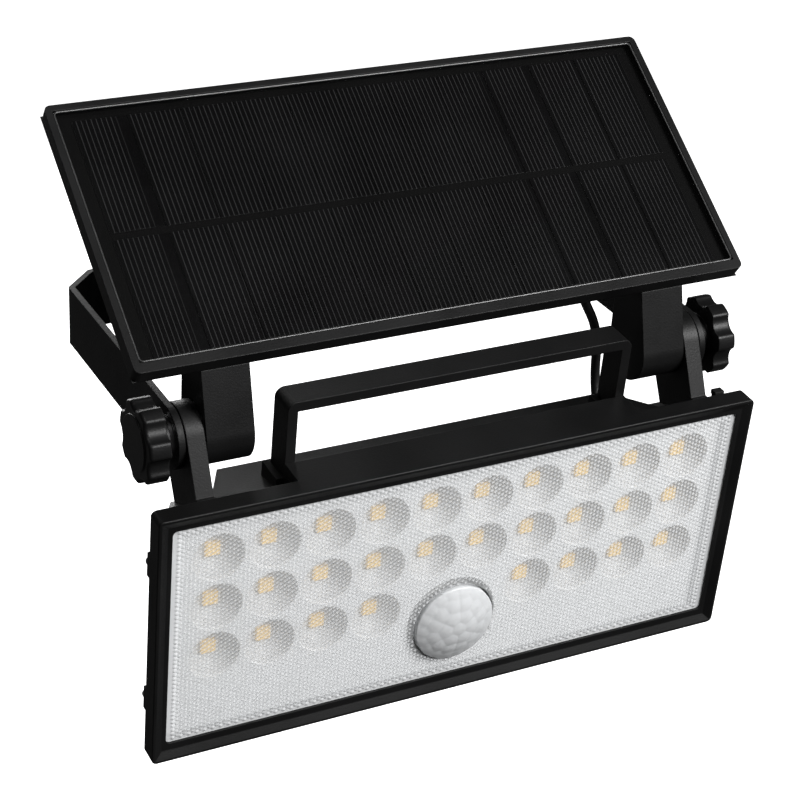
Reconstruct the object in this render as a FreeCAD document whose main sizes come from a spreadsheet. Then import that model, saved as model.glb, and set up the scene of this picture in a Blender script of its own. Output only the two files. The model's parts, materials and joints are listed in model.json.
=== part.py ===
import FreeCAD, Part
import math
import os
import re
import Sketcher
from FreeCAD import Placement, Rotation, Vector

# Solar flood light on a wall yoke.  Millimetres.  Three groups turn about one X axis, the pivot:
# the yoke, the lamp that hangs from two lugs, and the solar panel that stands on two arms.
# The lamp and the panel are each drawn square, with the pivot at their own origin, then tilted.
# Row frame: origin on the wall face of the yoke's base, +X to the right, +Y into the wall, +Z up.

DIMENSIONS = [
    ("reach", 116.0, "pivot axis to wall face"),
    ("lamp_tilt", 3.6, "lamp leans its window down, degrees"),
    ("panel_tilt", 34.2, "panel rises towards the wall, degrees"),
    ("strip", 2.5, "yoke steel thickness"),
    ("strip_wide", 24.0, "yoke strip width"),
    ("yoke_half", 110.0, "half the yoke's outer width"),
    ("yoke_corner", 12.5, "angled corner of the yoke, along X and along Y"),
    ("wall_hole", 3.25, "wall screw hole radius"),
    ("wall_hole_x", 60.0, "wall screw hole from centre"),
    ("centre_hole", 4.25, "centre hole radius"),
    ("stud", 3.0, "clamp stud radius, M6"),
    ("stud_hole", 3.1, "hole radius round a stud"),
    ("knob", 15.6, "star knob radius"),
    ("knob_thick", 8.0, "star knob thickness"),
    ("knob_in", 114.0, "inner face of the knob's star from centre"),
    ("lug_in", 100.2, "lamp lug inner face from centre"),
    ("lug_out", 107.0, "lamp lug outer face from centre"),
    ("lug_round", 12.2, "round head of the lug"),
    ("lug_lean", 62.0, "lean of the lug's edges from level, degrees"),
    ("arm_in", 81.3, "solar arm inner face from centre"),
    ("arm_out", 99.7, "solar arm outer face from centre"),
    ("arm_round", 12.3, "round foot of the solar arm"),
    ("foot_round", 4.0, "rounding of the foot's inner corner"),
    ("arm_front_lean", 41.5, "front edge of the arm against the panel, degrees"),
    ("arm_back_lean", 56.5, "back edge of the arm against the panel, degrees"),
    ("window_y", -28.7, "window plane from the pivot"),
    ("window_z", -67.8, "window centre below the pivot"),
    ("window_half", 118.3, "half the window width"),
    ("window_tall", 47.8, "half the window height"),
    ("bezel_half", 124.2, "half the bezel width"),
    ("bezel_top", 53.9, "bezel top above window centre"),
    ("bezel_low", 55.0, "bezel bottom below window centre"),
    ("bezel_deep", 8.0, "bezel depth"),
    ("lip", 1.7, "bezel's outer lip stands proud of the window"),
    ("lip_wide", 1.2, "flat width of the bezel's outer lip"),
    ("lip_slope", 3.0, "width of the slope inside the lip"),
    ("window_round", 2.0, "window corner radius"),
    ("tab_x", 122.0, "bezel screw from centre"),
    ("tab_z", 30.0, "bezel screw above and below the window centre"),
    ("seat", 1.8, "bezel pocket beyond the window edge"),
    ("lens_thick", 2.0, "diffuser thickness"),
    ("gasket_thick", 1.0, "lens gasket thickness"),
    ("gap", 0.3, "general clearance"),
    ("wall", 2.4, "moulded wall"),
    ("pitch", 22.0, "light pitch, both ways"),
    ("cup_front", 10.15, "reflector cup mouth radius"),
    ("cup_back", 4.2, "reflector cup throat radius"),
    ("cup_deep", 6.8, "reflector depth"),
    ("board_half", 113.0, "half the reflector's width behind the bezel"),
    ("board_tall", 44.0, "half the reflector's height behind the bezel"),
    ("row_top", 30.0, "top row above window centre"),
    ("chip", 5.6, "light chip side"),
    ("chip_tall", 1.5, "light chip height"),
    ("board", 1.6, "circuit board thickness"),
    ("eye_z", -23.7, "motion sensor above window centre"),
    ("eye", 16.6, "motion lens radius"),
    ("eye_tall", 4.5, "motion lens stands out of the window"),
    ("eye_sphere", 32.9, "motion lens sphere radius"),
    ("throat_half", 119.7, "half the housing's width inside the bezel"),
    ("throat_tall", 49.2, "half the housing's height inside the bezel"),
    ("tray_half", 119.0, "half the housing's width at the bezel"),
    ("tray_half_back", 108.0, "half the shallow part's width at its back"),
    ("tray_drop_top", 9.2, "the shallow part's top slopes down by"),
    ("tray_rise_low", 7.2, "the shallow part's bottom slopes up by"),
    ("core_half", 103.0, "half the deep part's width at the bezel"),
    ("core_half_back", 84.0, "half the deep part's width at its back"),
    ("core_tall", 45.5, "half the deep part's height at the bezel"),
    ("core_tall_back", 39.5, "half the deep part's height at its back"),
    ("tray_back", -0.7, "back of the housing's shallow part"),
    ("core_back", 14.0, "back of the housing's deep part"),
    ("grip_x", 3.7, "handle centre to the right of the window centre"),
    ("grip_half", 72.0, "half the handle width"),
    ("grip_bar", 4.0, "handle bar thickness"),
    ("grip_front", -10.7, "handle front face from the pivot"),
    ("grip_deep", 12.0, "handle depth"),
    ("grip_top", 11.4, "handle top above the pivot"),
    ("grip_foot", -20.0, "handle foot below the pivot"),
    ("port_x", 113.0, "charging port cap from centre"),
    ("cell", 9.1, "battery cell radius"),
    ("cell_long", 65.0, "battery cell length"),
    ("button", 6.0, "mode button radius"),
    ("button_x", 45.0, "mode button from centre"),
    ("button_z", -93.0, "mode button below the pivot"),
    ("gland_x", 99.0, "lamp cable gland from centre"),
    ("gland_z", -61.8, "lamp cable gland below the pivot"),
    ("gland_flats", 10.5, "gland hexagon across its flats"),
    ("gland_base", 5.0, "gland hexagon length"),
    ("gland_relief", 11.0, "tapered strain relief length"),
    ("cable", 2.0, "cable radius"),
    ("panel_half", 125.0, "half the panel width"),
    ("panel_near", 10.4, "panel lower edge up-slope from the pivot"),
    ("panel_far", 122.4, "panel upper edge up-slope from the pivot"),
    ("panel_face", 31.5, "glass face above the pivot"),
    ("rim", 0.5, "frame rim above the glass"),
    ("frame_under", 25.6, "underside of the panel's front frame"),
    ("panel_under", 18.5, "underside of the panel's back shell"),
    ("shell_inset", 6.5, "back shell's sloping side, inwards"),
    ("glass_half", 122.3, "half the glass width"),
    ("glass_near", 14.5, "glass lower edge"),
    ("glass_far", 119.8, "glass upper edge"),
    ("strip_pitch", 21.1, "solar strip pitch"),
    ("strip_long", 48.3, "solar strip length up-slope"),
    ("strip_gap", 3.0, "gap between the two rows of strips"),
    ("box_near", 52.0, "junction box near edge"),
    ("box_far", 72.0, "junction box far edge"),
    ("box_under", 6.0, "junction box underside"),
    ("box_left", 4.0, "junction box left side from centre"),
    ("box_right", 32.0, "junction box right side from centre, where its gland stands"),
]

X_AXIS = Rotation(Vector(0, 1, 0), 90)
Y_AXIS = Rotation(Vector(1, 0, 0), -90)
Z_AXIS = Rotation()
TURNS = {"x": X_AXIS, "y": Y_AXIS, "z": Z_AXIS}
SIDES = (("left", -1), ("right", 1))

doc = FreeCAD.newDocument("solar_flood_light")
sizes = doc.addObject("Spreadsheet::Sheet", "sizes")
for line, (alias, size, meaning) in enumerate(DIMENSIONS, 1):
    sizes.set(f"A{line}", meaning)
    sizes.set(f"B{line}", str(size))
    sizes.setAlias(f"B{line}", alias)
doc.recompute()

ALIASES = {alias for alias, _, _ in DIMENSIONS}
nodes = []


# ---- expressions -------------------------------------------------------------------------------

def tie(formula):
    """A formula in the sheet's words, as an expression that points at the sheet."""
    return re.sub(r"[a-z_]+", lambda m: "sizes." + m[0] if m[0] in ALIASES else m[0], str(formula))


def number(formula):
    """What a formula comes to now."""
    return float(sizes.evalExpression(tie(formula)))


def locate(item, x, y, z):
    for axis, formula in zip("xyz", (x, y, z)):
        item.setExpression("Placement.Base." + axis, tie(formula))


def flip(side, low, high):
    """The span low to high on the right side, or its mirror on the left."""
    return (low, high) if side > 0 else (f"-({high})", f"-({low})")


# ---- simple solids -----------------------------------------------------------------------------

def block(x, y, z):
    """A box from three (low, high) pairs of formulas."""
    box = doc.addObject("Part::Box", "block")
    for name, (low, high) in (("Length", x), ("Width", y), ("Height", z)):
        box.setExpression(name, tie(f"({high}) - ({low})"))
    locate(box, x[0], y[0], z[0])
    return box


def rod(axis, radius, long, x, y, z):
    """A cylinder that starts at x, y, z and runs along +axis."""
    cylinder = doc.addObject("Part::Cylinder", "rod")
    cylinder.Placement = Placement(Vector(), TURNS[axis])
    cylinder.setExpression("Radius", tie(radius))
    cylinder.setExpression("Height", tie(long))
    locate(cylinder, x, y, z)
    return cylinder


def taper(axis, start, end, long, x, y, z):
    """A cone from radius start to radius end along +axis."""
    cone = doc.addObject("Part::Cone", "taper")
    cone.Placement = Placement(Vector(), TURNS[axis])
    cone.setExpression("Radius1", tie(start))
    cone.setExpression("Radius2", tie(end))
    cone.setExpression("Height", tie(long))
    locate(cone, x, y, z)
    return cone


def hexagon(axis, across, long, x, y, z):
    """A six-sided prism, across its flats, that runs along +axis."""
    prism = doc.addObject("Part::Prism", "hexagon")
    prism.Placement = Placement(Vector(), TURNS[axis])
    prism.Polygon = 6
    prism.setExpression("Circumradius", tie(f"({across}) / sqrt(3)"))
    prism.setExpression("Height", tie(long))
    locate(prism, x, y, z)
    return prism


def funnel(y, near, far):
    """A straight-sided taper along Y; near and far are its end faces as (x low, x high, z low, z high)."""
    wedge = doc.addObject("Part::Wedge", "funnel")
    ends = dict(zip(("Xmin", "Xmax", "Zmin", "Zmax"), near))
    ends.update(zip(("X2min", "X2max", "Z2min", "Z2max"), far))
    ends.update(zip(("Ymin", "Ymax"), y))
    for name, formula in ends.items():
        wedge.setExpression(name, tie(formula))
    return wedge


# ---- sketched solids ---------------------------------------------------------------------------

def sketch_on(body, role, offset="0"):
    plane = next(f for f in body.Origin.OriginFeatures if f.Role == role)
    sketch = body.newObject("Sketcher::SketchObject", "sketch")
    sketch.AttachmentSupport = [(plane, "")]
    sketch.MapMode = "FlatFace"
    sketch.setExpression("AttachmentOffset.Base.z", tie(offset))
    return sketch


def pin_point(sketch, geometry, which, u, v):
    """Hold one sketch point at the formulas u, v."""
    for kind, formula in (("DistanceX", u), ("DistanceY", v)):
        rule = Sketcher.Constraint(kind, -1, 1, geometry, which, number(formula))
        index = sketch.addConstraint(rule)
        sketch.setExpression(f"Constraints[{index}]", tie(formula))


def polygon(sketch, points):
    corners = [Vector(number(u), number(v), 0) for u, v in points]
    for start, end in zip(corners, corners[1:] + corners[:1]):
        sketch.addGeometry(Part.LineSegment(start, end), False)
    for index in range(len(points)):
        follower = (index + 1) % len(points)
        sketch.addConstraint(Sketcher.Constraint("Coincident", index, 2, follower, 1))
    for index, (u, v) in enumerate(points):
        pin_point(sketch, index, 1, u, v)


def circle(sketch, radius, u, v):
    ring = Part.Circle(Vector(number(u), number(v), 0), Vector(0, 0, 1), number(radius))
    index = sketch.addGeometry(ring, False)
    rule = sketch.addConstraint(Sketcher.Constraint("Radius", index, number(radius)))
    sketch.setExpression(f"Constraints[{rule}]", tie(radius))
    pin_point(sketch, index, 3, u, v)


def padded(role, points, long, offset="0"):
    """A body: the polygon on one origin plane, padded by long from the offset."""
    body = doc.addObject("PartDesign::Body", "padded")
    sketch = sketch_on(body, role, offset)
    polygon(sketch, points)
    pad = body.newObject("PartDesign::Pad", "pad")
    pad.Profile = sketch
    pad.setExpression("Length", tie(long))
    return body


def soften(body, radius, wanted):
    """Fillet the edges of a body's tip that the test wants."""
    doc.recompute()
    sharp = body.Tip
    names = [f"Edge{index}" for index, edge in enumerate(sharp.Shape.Edges, 1) if wanted(edge)]
    fillet = body.newObject("PartDesign::Fillet", "fillet")
    fillet.Base = (sharp, names)
    fillet.setExpression("Radius", tie(radius))
    body.Tip = fillet


def runs_along(edge, axis):
    if not isinstance(edge.Curve, (Part.Line, Part.LineSegment)):
        return False
    direction = edge.tangentAt(edge.FirstParameter)
    return abs(direction.dot(axis)) > 0.999


# ---- combining and naming ----------------------------------------------------------------------

def joined(parts):
    if len(parts) == 1:
        return parts[0]
    fusion = doc.addObject("Part::MultiFuse", "joined")
    fusion.Shapes = list(parts)
    return fusion


def cut(base, *tools):
    result = doc.addObject("Part::Cut", "cut")
    result.Base = base
    result.Tool = joined(tools)
    return result


def common(first, second):
    result = doc.addObject("Part::Common", "common")
    result.Base = first
    result.Tool = second
    return result


def group(parts):
    """Separate solids that share one node."""
    compound = doc.addObject("Part::Compound", "group")
    compound.Links = list(parts)
    return compound


def node(label, item, tilt="none"):
    """Name a finished piece and stand it in the row frame."""
    if item.TypeId in ("Part::Box", "Part::Cylinder", "Part::Cone", "Part::Prism", "Part::Wedge"):
        item = group([item])
    item.Label = label
    if tilt != "none":
        item.Placement = Placement(Vector(), Rotation(Vector(1, 0, 0), number(tilt)))
        item.setExpression("Placement.Base.y", tie("-reach"))
    nodes.append(item)


# ---- the yoke and its clamps (drawn in the row frame, pivot at y = -reach) ----------------------

def yoke():
    end = "-(reach + strip_wide / 2)"
    inner = "yoke_half - strip"
    bend = "yoke_corner + strip * 0.414"
    outline = [
        ("yoke_half", end), ("yoke_half", "-yoke_corner"), ("yoke_half - yoke_corner", "0"),
        ("-(yoke_half - yoke_corner)", "0"), ("-yoke_half", "-yoke_corner"), ("-yoke_half", end),
        (f"-({inner})", end), (f"-({inner})", f"-({bend})"), (f"-(yoke_half - ({bend}))", "-strip"),
        (f"yoke_half - ({bend})", "-strip"), (inner, f"-({bend})"), (inner, end),
    ]
    strip = padded("XY_Plane", outline, "strip_wide", "-strip_wide / 2")
    soften(strip, "strip * 0.8", lambda edge: runs_along(edge, Vector(0, 0, 1)) and bend_edge(edge))
    heads = rod("x", "strip_wide / 2", "2 * yoke_half", "-yoke_half", "-reach", "0")
    body_box = block(("-yoke_half", "yoke_half"), ("-reach", "0"), ("-strip_wide / 2", "strip_wide / 2"))
    rounded = common(strip, joined([heads, body_box]))
    holes = [rod("x", "stud_hole", "2 * yoke_half + 2", "-yoke_half - 1", "-reach", "0")]
    holes.append(rod("y", "centre_hole", "2 * strip", "0", "-1.5 * strip", "0"))
    for sign in ("-", ""):
        holes.append(rod("y", "wall_hole", "2 * strip", sign + "wall_hole_x", "-1.5 * strip", "0"))
    node("u_bracket", cut(rounded, *holes))


def bend_edge(edge):
    """The long edges at the yoke's four bends, and not those at its free ends."""
    return edge.Vertexes[0].Point.y > -number("2 * yoke_corner")


def washers(inner, outer, radius):
    """One ring on each side, between two distances from the centre plane."""
    rings = []
    for _, side in SIDES:
        disc = side_rod(side, radius, inner, outer)
        rings.append(cut(disc, side_rod(side, "stud_hole", f"{inner} - 1", f"{outer} + 1")))
    return group(rings)


def clamps():
    node("knob_washers", washers("yoke_half", "yoke_half + 1.4", "8"))
    node("outer_friction_discs", washers("lug_out", "yoke_half - strip", "11"))
    node("inner_friction_discs", washers("arm_out", "lug_in", "11"))
    for name, side in SIDES:
        node(name + "_knob", star_knob(side))
        node(name + "_stud", side_rod(side, "stud", "arm_out - 8", "knob_in + 4"))


def star_knob(side):
    """A seven-lobed grip with a raised disc on its face and a collar towards the yoke."""
    low, high = flip(side, "knob_in", "knob_in + knob_thick")
    body = doc.addObject("PartDesign::Body", "star")
    disc = sketch_on(body, "YZ_Plane", low)
    circle(disc, "knob", "0", "0")
    pad = body.newObject("PartDesign::Pad", "grip")
    pad.Profile = disc
    pad.setExpression("Length", tie("knob_thick"))
    scallop = sketch_on(body, "YZ_Plane", high)
    circle(scallop, "knob * 0.34", "0", "knob * 1.19")
    pocket = body.newObject("PartDesign::Pocket", "scallop")
    pocket.Profile = scallop
    pocket.Type = "ThroughAll"
    doc.recompute()
    if pocket.Shape.Volume > pad.Shape.Volume * 0.99:
        raise RuntimeError("the knob's scallop cut nothing")
    ring = body.newObject("PartDesign::PolarPattern", "lobes")
    ring.Originals = [pocket]
    ring.Axis = (disc, ["N_Axis"])
    ring.Angle = 360
    ring.Occurrences = 7
    body.Tip = ring
    soften(body, "knob * 0.1", lambda edge: runs_along(edge, Vector(1, 0, 0)))
    face = number(high if side > 0 else low)
    soften(body, "knob * 0.08", lambda edge: lies_at(edge, face))
    body.setExpression("Placement.Base.y", "-sizes.reach")
    collar = side_rod(side, "knob * 0.58", "yoke_half + 1.5", "knob_in")
    raised = side_rod(side, "knob * 0.68", "knob_in + knob_thick - 1", "knob_in + knob_thick + 0.5")
    bore = side_rod(side, "stud", "yoke_half", "knob_in + 4")
    return cut(joined([body, collar, raised]), bore)


def lies_at(edge, x):
    return abs(edge.BoundBox.XMin - x) < 0.01 and abs(edge.BoundBox.XMax - x) < 0.01


def side_rod(side, radius, inner, outer):
    """A rod on the pivot axis between two distances from the centre plane."""
    low, high = flip(side, inner, outer)
    return rod("x", radius, f"({high}) - ({low})", low, "-reach", "0")


# ---- the lamp (pivot at the origin, window facing -Y) -------------------------------------------

FRONT = "window_y - lip"
BACK = "window_y - lip + bezel_deep"
LENS_FRONT = "window_y + 0.8"
LENS_BACK = "window_y + 0.8 + lens_thick"
BOARD_FRONT = "window_y + 3.4 + cup_deep"
LUG_SCREWS = ("-7", "-14")


def window_frame(x, z, y):
    """A block about the window centre: half width, half height, (front, back)."""
    return block((f"-({x})", x), y, (f"window_z - ({z})", f"window_z + ({z})"))


def rounded_block(x, z, y, radius, x_middle="0"):
    """A block about the window centre with its four edges along Y rounded."""
    low, high = y
    body = padded("XZ_Plane", [
        (f"{x_middle} - ({x})", f"window_z - ({z})"), (f"{x_middle} + {x}", f"window_z - ({z})"),
        (f"{x_middle} + {x}", f"window_z + {z}"), (f"{x_middle} - ({x})", f"window_z + {z}")],
        f"({high}) - ({low})", f"-({high})")
    soften(body, radius, lambda edge: runs_along(edge, Vector(0, 1, 0)))
    return body


def bezel():
    """A deep frame with a raised outer lip, a slope inside it, and a plate at the top before the handle."""
    body = padded("XZ_Plane", [
        ("-bezel_half", "window_z - bezel_low"), ("bezel_half", "window_z - bezel_low"),
        ("bezel_half", "window_z + bezel_top"), ("-bezel_half", "window_z + bezel_top")],
        "bezel_deep", f"-({BACK})")
    soften(body, "2.2", lambda edge: runs_along(edge, Vector(0, 1, 0)))
    soften(body, "0.5", lambda edge: abs(edge.BoundBox.YMax - number(FRONT)) < 0.01)
    plate = block(("grip_x - grip_half", "grip_x + grip_half"), (f"{BACK} - 1", "grip_front"),
                  ("window_z + throat_tall + gap", "window_z + bezel_top"))
    rim = [(side, "lip_wide") for side in ("bezel_half", "bezel_low", "bezel_top")]
    wide, low, top = [f"{side} - {lip}" for side, lip in rim]
    dish = funnel((f"{FRONT} - 0.001", "window_y - 0.1"),
                  (f"-({wide})", wide, f"window_z - ({low})", f"window_z + {top}"),
                  (f"-({wide} - lip_slope)", f"{wide} - lip_slope",
                   f"window_z - ({low} - lip_slope)", f"window_z + {top} - lip_slope"))
    opening = rounded_block("window_half", "window_tall", (f"{FRONT} - 1", f"{BACK} + 1"), "window_round")
    pocket = window_frame("window_half + seat", "window_tall + seat", (LENS_FRONT, f"{BACK} + 1"))
    holes = [rod("y", "1.25", "7", x, f"{BACK} - 6", z) for x, z in tab_places()]
    node("front_bezel", cut(joined([body, plate]), dish, opening, pocket, *holes), "lamp_tilt")


def tab_places():
    """The four places where the housing's tabs are screwed to the bezel."""
    return [(f"{side} * tab_x", f"window_z + {level} * tab_z") for side in (-1, 1) for level in (-1, 1)]


def lens_and_seal():
    sheet = window_frame("window_half + seat - 0.2", "window_tall + seat - 0.2", (LENS_FRONT, LENS_BACK))
    hole = rod("y", "eye + 1", "lens_thick + 2", "0", f"{LENS_FRONT} - 1", "window_z + eye_z")
    node("diffuser", cut(sheet, hole), "lamp_tilt")
    seal_span = (LENS_BACK, f"{LENS_BACK} + gasket_thick")
    outer = window_frame("window_half + seat - 0.2", "window_tall + seat - 0.2", seal_span)
    inner = window_frame("window_half + 0.2", "window_tall + 0.2", (LENS_BACK, f"{LENS_BACK} + 2"))
    node("lens_gasket", cut(outer, inner), "lamp_tilt")


def light_places():
    """The x and z of each light: three rows of ten, less two below the middle for the sensor."""
    places = []
    for row in range(3):
        for column in range(10):
            if row == 2 and column in (4, 5):
                continue
            places.append((f"({column} - 4.5) * pitch", f"window_z + row_top - {row} * pitch"))
    return places


def light_engine():
    brim_span = (f"{BOARD_FRONT} - cup_deep", f"{BACK} - gap")
    brim = window_frame("window_half - 1.3", "window_tall - 1.3", brim_span)
    body = window_frame("board_half", "board_tall", (f"{BOARD_FRONT} - cup_deep", BOARD_FRONT))
    tray = joined([brim, body])
    cups = []
    for x, z in light_places():
        cups.append(bowl(x, z))
    sensor_well = rod("y", "eye + 2.5", "cup_deep", "0", f"{BOARD_FRONT} - cup_deep", "window_z + eye_z")
    node("reflector_tray", cut(tray, group(cups), sensor_well), "lamp_tilt")
    board_span = (BOARD_FRONT, f"{BOARD_FRONT} + board")
    node("led_board", window_frame("board_half - 0.5", "board_tall - 0.5", board_span), "lamp_tilt")
    chips = []
    for x, z in light_places():
        chips.append(block((f"{x} - chip / 2", f"{x} + chip / 2"), (f"{BOARD_FRONT} - chip_tall", BOARD_FRONT),
                           (f"{z} - chip / 2", f"{z} + chip / 2")))
    node("led_chips", group(chips), "lamp_tilt")


def bowl(x, z):
    """The ball whose surface makes one reflector cup: it passes through the cup's mouth and throat circles."""
    centre = "(cup_front^2 - cup_back^2 - cup_deep^2) / (2 * cup_deep)"
    ball = doc.addObject("Part::Sphere", "bowl")
    ball.setExpression("Radius", tie(f"sqrt(cup_front^2 + ({centre})^2)"))
    locate(ball, x, f"{BOARD_FRONT} - cup_deep - ({centre})", z)
    return ball


def motion_sensor():
    """A thin domed lens with a flange behind the diffuser, over a metal-can sensor."""
    centre_y = "window_y - eye_tall + eye_sphere"
    shells = []
    for radius in ("eye_sphere", "eye_sphere - 1.2"):
        ball = doc.addObject("Part::Sphere", "ball")
        ball.setExpression("Radius", tie(radius))
        locate(ball, "0", centre_y, "window_z + eye_z")
        shells.append(ball)
    skirt_end = f"{LENS_BACK} + 0.2"
    cap = common(cut(*shells), rod("y", "eye + 5", "40", "0", "window_y - 40", "window_z + eye_z"))
    skirt = cut(rod("y", "eye", f"{skirt_end} - (window_y - 0.2)", "0", "window_y - 0.2", "window_z + eye_z"),
                rod("y", "eye - 1.5", "20", "0", "window_y - 5", "window_z + eye_z"))
    flange = cut(rod("y", "eye + 2", "1", "0", skirt_end, "window_z + eye_z"),
                 rod("y", "eye - 1.5", "4", "0", f"{skirt_end} - 1", "window_z + eye_z"))
    node("motion_lens", joined([cap, skirt, flange]), "lamp_tilt")
    can = rod("y", "4.6", "4.5", "0", f"{BOARD_FRONT} - 4.5", "window_z + eye_z")
    node("motion_sensor", can, "lamp_tilt")


def shell_solid(thick):
    """The rear housing's outer form, drawn in by a wall thickness."""
    inset = f"({thick})"
    throat = window_frame(f"throat_half - {inset}", f"throat_tall - {inset}",
                          (f"{LENS_BACK} + gasket_thick", BACK))
    tray = funnel((BACK, f"tray_back - {inset}"),
                  span("tray_half", inset) + ("window_z - throat_tall + " + inset,
                                              "window_z + throat_tall - " + inset),
                  span("tray_half_back", inset) + ("window_z - throat_tall + tray_rise_low + " + inset,
                                                   "window_z + throat_tall - tray_drop_top - " + inset))
    core = funnel((BACK, f"core_back - {inset}"),
                  span("core_half", inset) + ("window_z - core_tall + " + inset,
                                              "window_z + core_tall - " + inset),
                  span("core_half_back", inset) + ("window_z - core_tall_back + " + inset,
                                                   "window_z + core_tall_back - " + inset))
    return joined([throat, tray, core])


def span(half, inset):
    return f"-({half} - {inset})", f"{half} - {inset}"


def rear_housing():
    outer = shell_solid("0")
    hollow = shell_solid("wall")
    mouth = window_frame("throat_half - wall", "throat_tall - wall",
                         (f"{LENS_BACK} + gasket_thick - 1", f"{BACK} - 0.5"))
    ledge = block(("grip_x - grip_half", "grip_x + grip_half"), (BACK, "grip_front"),
                  ("window_z + throat_tall - 4", "window_z + throat_tall"))
    additions = [cut(outer, hollow, mouth), ledge]
    for x in handle_feet():
        additions.append(block((f"{x} - 5", f"{x} + 5"), ("grip_front", "grip_front + grip_deep + 1"),
                               ("window_z + core_tall - 7", "grip_foot")))
    for x, z in tab_places():
        sides = (f"{x} - 4.5", f"{x} + 2.1") if x.startswith("1") else (f"{x} - 2.1", f"{x} + 4.5")
        additions.append(block(sides, (BACK, f"{BACK} + wall"), (f"{z} - 5", f"{z} + 5")))
    post = block(("port_x - 1.8", "port_x + 1.8"), (BACK, f"{BACK} + 3"),
                 ("window_z + throat_tall - 8", "window_z + bezel_top - 1"))
    additions.append(cut(post, hollow))
    drilled = [rod("y", "button + gap", "12", "button_x", "core_back - 6", "button_z")]
    drilled.append(rod("y", "4", "12", "gland_x", "tray_back - 6", "gland_z"))
    drilled += [rod("y", "1.55", "6", x, f"{BACK} - 1", z) for x, z in tab_places()]
    for x in handle_feet():
        drilled.append(rod("z", "1.3", "13", x, "grip_front + grip_deep / 2", "grip_foot - 12"))
    for x in ("-(lug_in + lug_out) / 2", "(lug_in + lug_out) / 2"):
        for y in LUG_SCREWS:
            drilled.append(rod("z", "1.6", "14", x, y, "window_z + 36"))
    node("rear_housing", cut(joined(additions), *drilled), "lamp_tilt")
    cap = block(("port_x - 2.1", "port_x + 2.1"), (f"{BACK} + gap", f"{BACK} + 3.4"),
                ("window_z + bezel_top - 1", "window_z + bezel_top + 0.8"))
    node("port_cap", cap, "lamp_tilt")


def handle_feet():
    """The x of the middle of each handle leg."""
    return ["grip_x - grip_half + grip_bar / 2", "grip_x + grip_half - grip_bar / 2"]


def lugs():
    """Two leaning lugs with round heads; the toe of each rests on the bezel's top edge."""
    lean = "(lug_lean + 90)"
    front = (f"lug_round * cos({lean})", f"lug_round * sin({lean})")
    rear = (f"-lug_round * cos({lean})", f"-lug_round * sin({lean})")
    deck = "window_z + bezel_top"
    toe = (f"{front[0]} - ({front[1]} - ({deck})) / tan(lug_lean)", deck)
    slope_start = (BACK, "window_z + throat_tall")
    slope = f"tray_drop_top / (tray_back - ({BACK}))"
    slope_end = ("tray_back - 1.2", f"window_z + throat_tall - {slope} * (tray_back - 1.2 - ({BACK}))")
    outline = [front, toe, (BACK, deck), slope_start, slope_end, rear]
    for name, side in SIDES:
        low, high = flip(side, "lug_in", "lug_out")
        web = padded("YZ_Plane", outline, "lug_out - lug_in", low)
        head = rod("x", "lug_round", "lug_out - lug_in", low, "0", "0")
        bore = rod("x", "stud_hole", "lug_out - lug_in + 2", f"({low}) - 1", "0", "0")
        middle = f"(({low}) + ({high})) / 2"
        threads = [rod("z", "1.5", "14", middle, y, "window_z + 40") for y in LUG_SCREWS]
        node(name + "_lug", cut(joined([web, head]), bore, *threads), "lamp_tilt")


def handle():
    """A flat-bar carrying handle, bent square over the lamp."""
    left, right = "grip_x - grip_half", "grip_x + grip_half"
    under = "grip_top - grip_bar"
    outline = [
        (left, "grip_foot"), (left, "grip_top"), (right, "grip_top"), (right, "grip_foot"),
        (f"{right} - grip_bar", "grip_foot"), (f"{right} - grip_bar", under),
        (f"{left} + grip_bar", under), (f"{left} + grip_bar", "grip_foot"),
    ]
    bar = padded("XZ_Plane", outline, "grip_deep", "-(grip_front + grip_deep)")
    soften(bar, "grip_bar * 0.9", outer_corner)
    threads = [rod("z", "1.25", "9", x, "grip_front + grip_deep / 2", "grip_foot - 1") for x in handle_feet()]
    node("handle", cut(bar, *threads), "lamp_tilt")


def outer_corner(edge):
    """The two outer edges where the handle bar turns down."""
    corner = edge.Vertexes[0].Point
    from_middle = abs(corner.x - number("grip_x"))
    return runs_along(edge, Vector(0, 1, 0)) and corner.z > 0 and from_middle > number("grip_half - 1")


def screw(axis, x, y, z, long, outward):
    """A pan-head M2.5 screw: its thread runs from x, y, z along +axis, its head stands on the start."""
    thread = rod(axis, "1.2", long, x, y, z)
    places = {"x": x, "y": y, "z": z}
    places[axis] = f"({places[axis]}) - 1.6" if outward < 0 else f"({places[axis]}) + {long}"
    head = rod(axis, "2.1", "1.6", places["x"], places["y"], places["z"])
    return joined([thread, head])


def lamp_screws():
    fixings = [screw("y", x, f"{BACK} - 5", z, "7.4", 1) for x, z in tab_places()]
    node("bezel_screws", group(fixings), "lamp_tilt")
    middle = "grip_front + grip_deep / 2"
    handle_fixings = [screw("z", x, middle, "window_z + core_tall - 7", "15", -1) for x in handle_feet()]
    node("handle_screws", group(handle_fixings), "lamp_tilt")
    lug_fixings = []
    for x in ("-(lug_in + lug_out) / 2", "(lug_in + lug_out) / 2"):
        for y in LUG_SCREWS:
            lug_fixings.append(rod("z", "1.4", "12", x, y, "window_z + 38"))
    node("lug_screws", group(lug_fixings), "lamp_tilt")


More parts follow.
